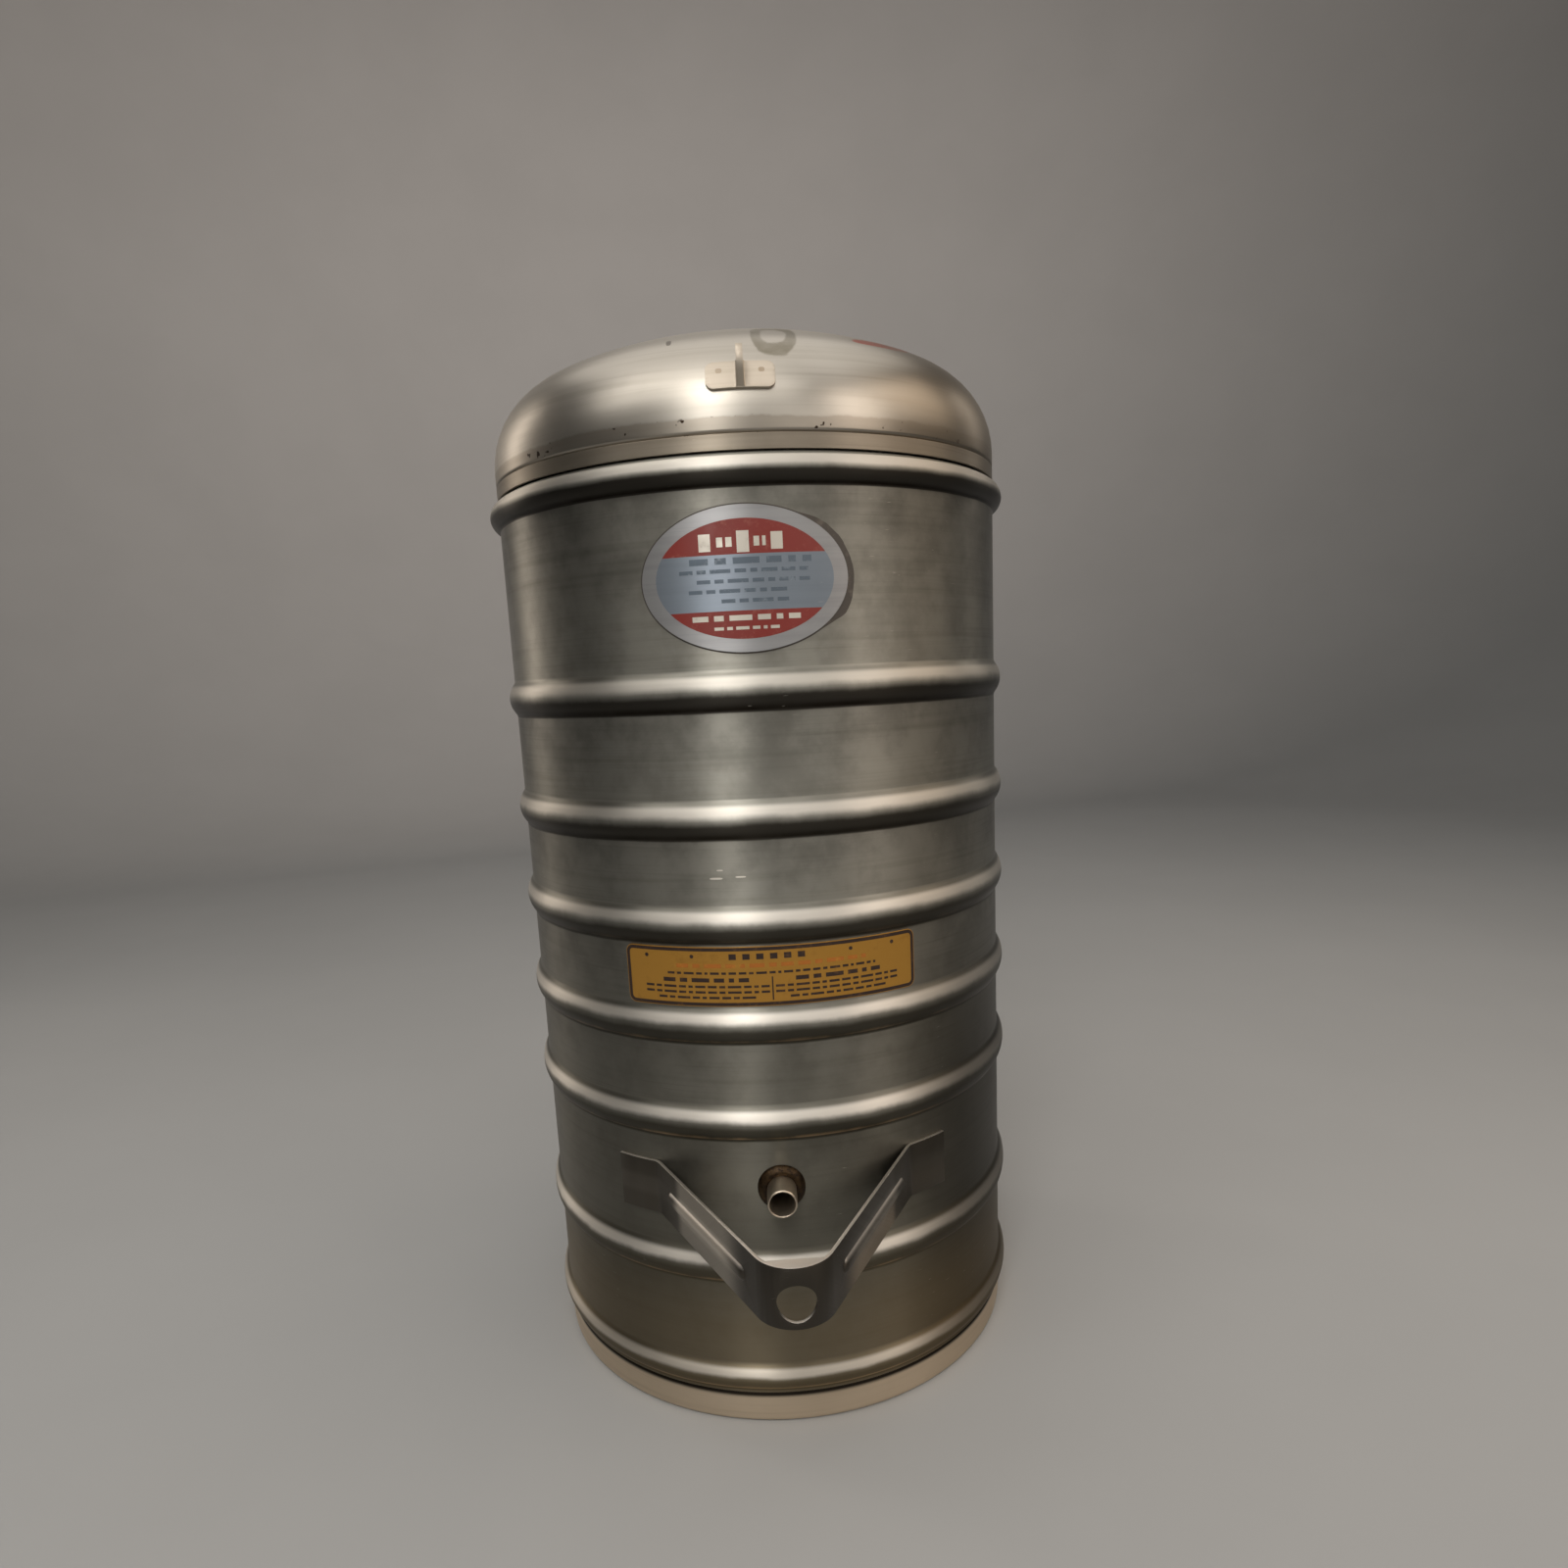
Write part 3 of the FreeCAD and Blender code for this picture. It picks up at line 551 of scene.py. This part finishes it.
def plate_ink(name, code, worn, metallic=0.0, rough=0.35, wear=0.5, wear_mm=6.0):
    """Enamel ink printed on thin sheet: even colour, rubbed thin in patches and finely scratched."""
    material, tree = new_material(name)
    rub = blotches(tree, size_mm=wear_mm, detail=6.0, roughness=0.7)
    fine = blotches(tree, size_mm=0.9, detail=3.0)
    colour = cover(tree, srgb(code), worn, wear, (rub, 0.52, 0.72))
    colour = cover(tree, colour, worn, 0.5 * wear, (fine, 0.62, 0.75))
    shine_and_lumps(tree, colour, rub, rough - 0.06, rough + 0.12, fine, depth_mm=0.01, metallic=metallic)
    return material


# The three colours are clean, dull and dirty metal. A painted light is a colour that stands in for light or
# shade, its strength and, for each axis, where it starts and where it is full. A mark is its place across and
# along the profile, its half sizes, how much of them is hollow, its colour and its strength.

# Rolled wall of satin stainless, worn and soiled: tall soft streaks of light between ribs with painted
# highlights on their crests and painted shade in their creases and undersides
shell_steel = satin_stainless("worn_satin_stainless", "#abaaa2", "#85847b", "#4a463c", rough=0.42, aniso=0.85,
                              rib_shade=0.95, wobble_mm=0.08,
                              # Painted shade on the lower right, and a painted reflection of the tan floor
                              # low down
                              painted_light=[("#2b2822", 0.7, ("x", 40, 105), ("z", 300, 170), ("y", 60, -20)),
                                     ("#8a7756", 0.35, ("z", 110, 45))],
                              marks=[(-24, 158, 3.2, 0.5, 0.0, "#e8e2d8", 0.7),
                                     (-12, 158.6, 2.6, 0.4, 0.0, "#e8e2d8", 0.7),
                                     (-22, 162, 1.6, 0.4, 0.0, "#e8e2d8", 0.5)])

# Spun lid, smoother than the wall: a broad warm gleam on its shoulder, old paint, a stained foot and painted
# shade on its right side
lid_steel = satin_stainless("spun_lid_stainless", "#bcb8b0", "#a29d93", "#625a4d", rough=0.32, aniso=0.35,
                            wobble_mm=0.25, stain=(499.0, 506.0, "#7d7263", 0.45), scratches=0.3,
                            painted_light=[("#7b7264", 0.75, ("x", 35, 100), ("y", 60, -20))],
                            marks=[(16, 432, 10.5, 32, 0.52, "#6b6552", 0.7),
                                   (68, 428, 15, 7, 0.0, "#b5412c", 0.8),
                                   (-32, 425, 1.2, 5, 0.0, "#3a2f26", 0.8)])

# Rolled hoop under the stain: a flat, brown-grey band with a long soft light
band_steel = satin_stainless("rim_band_stainless", "#a39b8e", "#857c6f", "#4c4034", rough=0.42, aniso=0.8)

# Foot ring, scuffed on floors: dull and warm, with a painted shadow in the gap under the shell's lap
foot_steel = satin_stainless("scuffed_foot_stainless", "#d6c6b0", "#b4a58f", "#75654f", rough=0.45, aniso=0.6,
                             painted_light=[("#0f0c09", 0.97, ("z", 14.2, 16.6))])

# Mill finish, as the sheet came: grey and even, with hardly any gleam
jacket_steel = satin_stainless("mill_finish_stainless", "#a8a298", "#8e887e", "#5b554c", rough=0.5, aniso=0.3)

# Satin that is washed after each use: the brightest and cleanest metal here
vessel_steel = satin_stainless("clean_satin_stainless", "#bdb8b0", "#a5a098", "#7d776d", rough=0.4,
                               scratches=0.2)

# Satin strap: painted shade on its nose, where it meets the wall and along the top of its right arm; painted
# highlights on its left arm, its bead and faces that look up; a painted warm floor reflection low on its
# right arm
guard_steel = satin_stainless("satin_strap_stainless", "#85817a", "#69655f", "#3a3530", rough=0.4, aniso=0.35,
                              wobble_mm=0.05, rubbed=1.0,
                              painted_light=[("#a59e93", 0.75, ("x", -8, -30)),
                                     ("#e0d8cc", 0.6, ("x", -8, -30), ("z", 126, 131), ("z", 140, 136)),
                                     ("#b09a7c", 0.45, ("x", 8, 30), ("z", 138, 122)),
                                     ("#1d1a17", 0.6, ("x", 8, 26), ("z", 134, 141)),
                                     ("#44403a", 0.95, ("y", -190, -210)),
                                     ("#45413a", 0.9, ("y", -152, -144))])

# Folded plate, left rough from the press: pale and soft, with two dull weld spots
lug_steel = satin_stainless("folded_lug_stainless", "#c4bcb0", "#aca293", "#6e5c46", rough=0.5, aniso=0.3,
                            wobble_mm=0.05,
                            marks=[(side * 9.5, 388, 1.4, 1.6, 0.0, "#8d7c66", 0.7) for side in (-1, 1)])

# Drawn pipe: warm grey, with a narrow gleam on its mouth
tube_steel = satin_stainless("outlet_tube_stainless", "#d6cbb9", "#ada091", "#5a4a38", rough=0.36, aniso=0.2,
                             wobble_mm=0.03)

# Rolled aluminium of the nameplate: a cooler, flatter grey than the steel round it
plate_metal = satin_stainless("rolled_aluminium_plate", "#a6a7a9", "#8c8d8f", "#625c53", rough=0.42,
                              aniso=0.75, wobble_mm=0.03)

# Clear blue lacquer on that plate: pale blue, and it shines as the metal does
blue_lacquer = satin_stainless("blue_lacquered_aluminium", "#89939e", "#7e8791", "#757b7d", rough=0.42,
                               aniso=0.75, wobble_mm=0.03)

# Gold lacquer on brass: deep yellow, half shiny, browner where it is rubbed
gold_metal = plate_ink("gold_lacquered_brass", "#b08235", "#8f6526", metallic=0.5, rough=0.34, wear_mm=14)

# Enamel inks: flat, even colours that thin out to the metal; the pale bars are metal left bare
red_ink = plate_ink("red_enamel_ink", "#7c241c", "#9c6257", rough=0.38)
pale_ink = plate_ink("bare_metal_letters_ink", "#c9c4ba", "#9d978b", metallic=0.6)
grey_ink = plate_ink("faint_grey_ink", "#5a6672", "#8f9aa4", metallic=0.4, rough=0.38, wear=0.9)
brown_ink = plate_ink("dark_brown_enamel_ink", "#2b1a12", "#6d4a22", rough=0.4, wear=0.6)
orange_ink = plate_ink("faded_orange_ink", "#a8641c", "#b98d2c", rough=0.4, wear=0.9)

# Old contact glue: matt and nearly black, dusty in patches; its thin rim all round the nameplate is also
# painted shade along the plate's edge
glue_with_edge_shade = plate_ink("black_glue_and_painted_edge_shade", "#453f39", "#6e665c", rough=0.55, wear=0.6)

braze = braze_metal()
copper = dull_copper()
rubber = black_rubber()


# Carrier

def shell_corners():
    """The wall from its bottom edge up to the shelf under the lid."""
    corners = [(wall_radius, foot_height, 0.0)]
    corners += swage(chime_z, chime_width, chime_height, rib_fold)
    for z in (low_rib_z, *even_rib_z, top_rib_z):
        corners += swage(z, rib_width, rib_height, rib_fold)
    bead = swage(bead_z, bead_width, bead_height, bead_fold)
    corners += bead[:2]
    flank = (bead[1][0] - wall_radius) / (bead[1][1] - bead[0][1])
    corners.append((bead[1][0] - flank * (shelf_z - bead_z), shelf_z, shelf_fold))
    corners.append((liner_outer + liner_flange_bend, shelf_z, 0.0))
    return corners


def foot_corners():
    """The foot from its lip on the ground up to the lap inside the shell."""
    step = foot_radius - lap_radius
    return [
        (foot_radius - foot_lip, 0.0, 0.0),
        (foot_radius, 0.0, foot_bend),
        (foot_radius, foot_height - 2 * step, foot_sheet + 0.4),
        (lap_radius, foot_height, foot_sheet),
        (lap_radius, foot_height + foot_lap, 0.0),
    ]


def make_carrier():
    spun_sheet("shell", shell_corners(), shell_sheet, shell_steel, "carrier", "outer_shell",
               hole=shell_hole)
    spun_sheet("foot", foot_corners(), foot_sheet, foot_steel, "carrier", "foot_ring")
    spun_sheet("jacket_bottom", [(lap_radius, bottom_z + bottom_flange, 0.0)]
               + coved_floor(lap_radius, bottom_knuckle, bottom_z),
               -bottom_sheet, jacket_steel, "carrier", "bottom_head")
    cup_top = bottom_z + floor_rise
    spun_sheet("tip_guard_cup", [(cup_brim, cup_top, 0.0), (cup_radius, cup_top, cup_brim_bend),
                                 (cup_radius, cup_top - cup_depth, cup_bend),
                                 (0.0, cup_top - cup_depth, 0.0)],
               cup_sheet, jacket_steel, "carrier", "tip_cap")
    spun_sheet("liner", [(liner_outer + liner_flange_bend + liner_flange, shelf_z, 0.0),
                         (liner_outer, shelf_z, liner_flange_bend)]
               + coved_floor(liner_outer, liner_knuckle, floor_z),
               -liner_sheet, vessel_steel, "carrier", "inner_vessel", hole=liner_hole)
    refined("pinched_tip", "evacuation_tip", copper, "carrier")


def make_outlet():
    bore = tube_radius - tube_wall
    turned_on_outlet("tube", [(bore, tube_end), (tube_radius, tube_end), (tube_radius, tube_mouth - 0.6),
                              (tube_radius - 0.5, tube_mouth), (bore + 0.3, tube_mouth),
                              (bore, tube_mouth - 0.4)],
                     tube_steel, "outlet_tube")
    face = wall_radius + collar_thickness
    turned_on_outlet("collar", [(tube_radius, wall_radius - 1.0), (collar_radius, wall_radius - 1.0),
                                (collar_radius - 0.1, wall_radius + 0.4),
                                (collar_radius - 0.7, wall_radius + 1.6), (collar_face_radius, face - 0.5),
                                (collar_face_radius - 1.3, face), (tube_radius, face - 0.3)],
                     braze, "outlet_collar")
    back = liner_outer - liner_sheet - 0.2
    face = liner_outer - liner_sheet - ferrule_thickness
    turned_on_outlet("ferrule", [(tube_radius, face), (ferrule_radius - 1.0, face),
                                 (ferrule_radius, face + 1.0), (ferrule_radius, back), (tube_radius, back)],
                     braze, "outlet_ferrule")


# Plates

def glue_and_shade_outline(bm):
    """Old glue round the nameplate, crept out from under it, most at its right end; its thin dark rim all
    round is partly painted shade along the plate's edge.
    """
    half_width, half_height = nameplate_half_width + 0.7, nameplate_half_height + 0.7
    creep, creep_from = 0.062, 0.62     # how far it has crept and from where, as shares of the half width
    oval(bm, half_width, half_height, segments=240)
    for vert in bm.verts:
        across, up = vert.co.x / half_width, vert.co.z / half_height
        right = min(1.0, 1.8 * max(0.0, across + 0.12 * up - creep_from) / (1 - creep_from))
        uneven = 0.85 + 0.6 * noise.noise(vert.co * 0.1) + 0.1 * noise.noise(vert.co * 0.3)
        vert.co *= 1 + creep * right * uneven


def printed_field(bm, *sides):
    """Printed oval inside the nameplate's plain rim, cut off at these heights; a side says what is kept."""
    oval(bm, nameplate_half_width - 7.0, nameplate_half_height - 6.0)
    for z, side in sides:
        cut(bm, (0, 0, z), (0, 0, side), clear_inner=True)


def make_nameplate():
    middle = (top_rib_z + rib_width / 2 + shelf_z - bead_width) / 2
    above, below = 1, -1
    blue_low, blue_high = -13.8, 11.0

    def on_plate(name, bm, half_width, back, material, thickness=ink, node=None):
        return curved_to_wall(name, bm, half_width, middle, back, thickness, material,
                              nameplate_turn, node)

    bm = bmesh.new()
    glue_and_shade_outline(bm)
    on_plate("nameplate_glue_and_painted_shade", bm, nameplate_half_width + 5.5, 0.02, glue_with_edge_shade, thickness=0.08)

    bm = bmesh.new()
    oval(bm, nameplate_half_width, nameplate_half_height, segments=192)
    blank = on_plate("nameplate_blank", bm, nameplate_half_width, plate_film, plate_metal,
                     nameplate_skin - plate_film, "nameplate")
    break_edges(blank, 0.25)

    for name, ink_colour, sides in (
        ("nameplate_field", blue_lacquer, [(blue_high, below), (blue_low, above)]),
        ("nameplate_red_top", red_ink, [(blue_high, above)]),
        ("nameplate_red_foot", red_ink, [(blue_low, below)]),
    ):
        bm = bmesh.new()
        printed_field(bm, *sides)
        on_plate(name, bm, nameplate_half_width - 7.0, nameplate_skin, ink_colour)

    # Large bars on the upper red field, two rows on the lower one and faint rows on the blue
    bm = bmesh.new()
    for x, width, height in ((-17.5, 5.4, 7.6), (-10.6, 2.8, 4.2), (-6.4, 2.8, 4.2), (0, 5.6, 9.4),
                             (6.2, 2.6, 4.2), (9.6, 1.6, 4.2), (15.4, 5.4, 7.6)):
        bar(bm, x, 16.4, width, height)
    print_row(bm, 0, -17.0, 50, 2.4)
    print_row(bm, 0, -21.6, 30, 1.4)
    on_plate("nameplate_pale_bars", bm, 40, nameplate_skin + ink, pale_ink)
    bm = bmesh.new()
    print_row(bm, 3, 8.2, 56, 2.8)
    for x, z, width in ((0, 3.8, 60), (4, -0.6, 52), (-3, -5.0, 46), (6, -9.4, 34)):
        print_row(bm, x, z, width, 1.7, long_and_short)
    on_plate("nameplate_faint_bars", bm, 40, nameplate_skin + ink, grey_ink)


def make_instruction_plate():
    middle = (even_rib_z[1] + even_rib_z[2]) / 2
    half_height = (rib_pitch - rib_width) / 2 - 0.3
    half_width = wall_radius * instruction_half_angle
    border_gap, border_width = 0.4, 1.7

    def on_plate(name, bm, back, material, thickness=ink, node=None):
        return curved_to_wall(name, bm, half_width, middle, back, thickness, material,
                              instruction_turn, node)

    bm = bmesh.new()
    rounded_plate(bm, half_width, half_height, 4.0)
    blank = on_plate("instruction_blank", bm, plate_film, gold_metal, instruction_skin - plate_film,
                     "instruction_plate")
    break_edges(blank, 0.2)

    # Dark border just inside the edge
    bm = bmesh.new()
    rounded_plate(bm, half_width - border_gap, half_height - border_gap, 3.7)
    field = bm.faces[:]
    bmesh.ops.inset_region(bm, faces=field, thickness=border_width, depth=0.0, use_boundary=True,
                           use_even_offset=True)
    bmesh.ops.delete(bm, geom=field, context="FACES")
    on_plate("instruction_border", bm, instruction_skin, brown_ink)

    # Title, one long row, then two columns of small print with a rule between them, and four dots
    bm = bmesh.new()
    print_row(bm, 0, 10.2, 42, 2.9, rhythm=(2,))
    print_row(bm, 0, 1.9, 106, 1.2)
    for x in (-33.5, 33.5):
        print_row(bm, x, -1.6, 44, 2.1)
        for z, width in ((-5.0, 64), (-7.8, 64), (-10.6, 50)):
            print_row(bm, x, z, width, 1.2, long_and_short)
    bar(bm, 0, -6.2, 0.7, 12.0)
    for share in (-0.84, -0.52, 0.52, 0.82):
        dot = Matrix.Translation((share * half_width, 0, 10.4)) @ FACING_FRONT
        bmesh.ops.create_circle(bm, cap_ends=True, segments=10, radius=1.0, matrix=dot)
    on_plate("instruction_bars", bm, instruction_skin, brown_ink)
    bm = bmesh.new()
    print_row(bm, 0, 5.7, 96, 2.0)
    on_plate("instruction_orange_bar", bm, instruction_skin, orange_ink)


# Lid

def make_lid():
    band_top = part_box("lid_band")[1].z / MM
    joggle_z = band_top + 0.1
    corners = [
        (skirt_radius, gasket_z, 0.0),
        (skirt_radius, joggle_z, dome_sheet),
        (wall_radius, joggle_z + band_sheet, joggle_bend),
    ]
    spun_sheet("dome", corners + dished(wall_radius, dome_knuckle, dome_crown, dome_z), dome_sheet, lid_steel,
               "lid", "lid_dome")
    spun_sheet("rim_band", [(wall_radius, band_z, 0.0), (wall_radius, band_top, 0.0)], band_sheet, band_steel,
               "lid", "lid_band", edge=0.25)
    spun_sheet("pan", [(skirt_radius - dome_sheet, pan_z, 0.0), (pan_radius, pan_z, pan_bend),
                       (pan_radius, pan_z - pan_depth, pan_knuckle), (0.0, pan_z - pan_depth, 0.0)],
               -pan_sheet, vessel_steel, "lid", "lid_pan")
    spun_sheet("gasket", [(gasket_inner, gasket_z, 0.0), (gasket_outer, gasket_z, 0.0)], gasket_height,
               rubber, "lid", "lid_gasket", edge=0.6)
    for i in (1, 2, 3):
        refined(f"lug_{i}", f"lid_lug_{i}", lug_steel, "lid", edge=0.4)


make_carrier()
make_outlet()
refined("guard", "faucet_guard", guard_steel, "carrier", edge=0.35)
make_nameplate()
make_instruction_plate()
make_lid()


# Studio, in metres

def studio_floor():
    """Plain pale floor that sweeps up into a wall on every side."""
    flat, sweep_radius, wall_top = 2.4, 1.6, 9.0
    bm = bmesh.new()
    pen = bm.verts.new((0, 0, 0))
    edge = bmesh.ops.extrude_vert_indiv(bm, verts=[pen])["verts"][0]
    edge.co = (flat, 0, 0)
    sweep = bmesh.ops.spin(bm, geom=[edge], cent=(flat, 0, sweep_radius), axis=(0, -1, 0), angle=math.pi / 2,
                           steps=16)
    last = [v for v in sweep["geom_last"] if isinstance(v, bmesh.types.BMVert)][0]
    top = bmesh.ops.extrude_vert_indiv(bm, verts=[last])["verts"][0]
    top.co = (flat + sweep_radius, 0, wall_top)
    carry_round(bm, 96)
    mesh = bpy.data.meshes.new("floor")
    bm.to_mesh(mesh)
    bm.free()
    mesh.polygons.foreach_set("use_smooth", [True] * len(mesh.polygons))
    mesh.materials.append(matt_floor_paint())
    floor = bpy.data.objects.new("floor", mesh)
    bpy.context.scene.collection.objects.link(floor)


def matt_floor_paint():
    """Matt grey paint: even and without a gleam."""
    material, tree = new_material("pale_matt_floor")
    colour = cover(tree, srgb("#a7a9aa"), "#aaacad", 1.0, (blotches(tree, size_mm=400), 0.3, 0.7))
    shader = add(tree, "BsdfPrincipled", {"Base Color": colour, "Roughness": 0.85})
    add(tree, "OutputMaterial", {"Surface": shader.outputs[0]})
    return material


def lamp(name, azimuth, distance, height, width, tall, watts, colour, aim=(0, 0, 0.3), spread=180):
    """Soft panel lamp; azimuth and spread are in degrees, azimuth to the right of the front."""
    data = bpy.data.lights.new(name, "AREA")
    data.shape = "RECTANGLE"
    data.size = width
    data.size_y = tall
    data.energy = watts
    data.color = srgb(colour)[:3]
    data.spread = math.radians(spread)
    panel = bpy.data.objects.new(name, data)
    turn = math.radians(azimuth)
    panel.location = (distance * math.sin(turn), -distance * math.cos(turn), height)
    towards = Vector(aim) - panel.location
    panel.rotation_euler = towards.to_track_quat("-Z", "Y").to_euler()
    bpy.context.scene.collection.objects.link(panel)


def light_the_studio():
    """A small key for the gleams, tall and wide panels for the streaks, weak lamps for the sides and rims."""
    lamp("key", azimuth=-15, distance=1.15, height=1.45, width=0.3, tall=0.1, watts=0.4, colour="#fffaf4",
         spread=100)
    lamp("tall_panel", azimuth=-14, distance=1.4, height=0.95, width=0.36, tall=1.1, watts=4.8,
         colour="#fffaf4")
    lamp("front_panel", azimuth=-22, distance=1.25, height=1.85, width=2.8, tall=0.9, watts=15,
         colour="#fff8f0")
    lamp("ceiling", azimuth=180, distance=0.2, height=2.3, width=2.8, tall=2.4, watts=22, colour="#fff8f0",
         aim=(0, 0.2, 0))
    lamp("fill", azimuth=50, distance=1.9, height=1.15, width=0.8, tall=1.2, watts=1.6, colour="#fff0e2",
         spread=80)
    lamp("front_right_panel", azimuth=22, distance=1.8, height=0.75, width=0.85, tall=0.7, watts=2.4,
         colour="#fff6ec")
    lamp("side_panel", azimuth=84, distance=1.6, height=1.4, width=1.2, tall=0.9, watts=2.4,
         colour="#ffe9d2", spread=120)
    lamp("rim_left", azimuth=-118, distance=1.6, height=0.9, width=0.25, tall=1.1, watts=0.45,
         colour="#fff0e0", spread=70)
    lamp("rim_right", azimuth=122, distance=1.6, height=1.1, width=0.25, tall=0.6, watts=0.15,
         colour="#fff0e0", spread=70)
    lamp("wall_wash_back", azimuth=185, distance=1.2, height=2.0, width=1.8, tall=0.5, watts=48,
         colour="#fff0e4", aim=(-0.9, 4.0, 3.0))
    world = bpy.data.worlds.new("studio_air")
    bpy.context.scene.world = world
    world.use_nodes = True
    air = world.node_tree.nodes["Background"]
    air.inputs["Color"].default_value = srgb("#8f8d88")
    air.inputs["Strength"].default_value = 0.03
    bpy.context.scene.view_settings.view_transform = "Standard"


def make_camera():
    """Camera where the photograph was taken from, turned as it was held."""
    place = (0.0, -0.60718, 0.39222)
    yaw, pitch, roll = math.radians(1.11), math.radians(10.61), math.radians(-2.73)
    ahead = Vector((math.sin(yaw) * math.cos(pitch), math.cos(yaw) * math.cos(pitch), -math.sin(pitch)))
    level_right = Vector((math.cos(yaw), -math.sin(yaw), 0))
    level_up = level_right.cross(ahead)
    right = math.cos(roll) * level_right + math.sin(roll) * level_up
    up = -math.sin(roll) * level_right + math.cos(roll) * level_up
    data = bpy.data.cameras.new("camera")
    data.lens = 22.782
    data.sensor_width = 36.0
    data.shift_y = 0.05
    data.clip_start = 0.01
    camera = bpy.data.objects.new("camera", data)
    camera.matrix_world = Matrix.Translation(place) @ Matrix((right, up, -ahead)).transposed().to_4x4()
    bpy.context.scene.collection.objects.link(camera)
    bpy.context.scene.camera = camera


studio_floor()
light_the_studio()
make_camera()
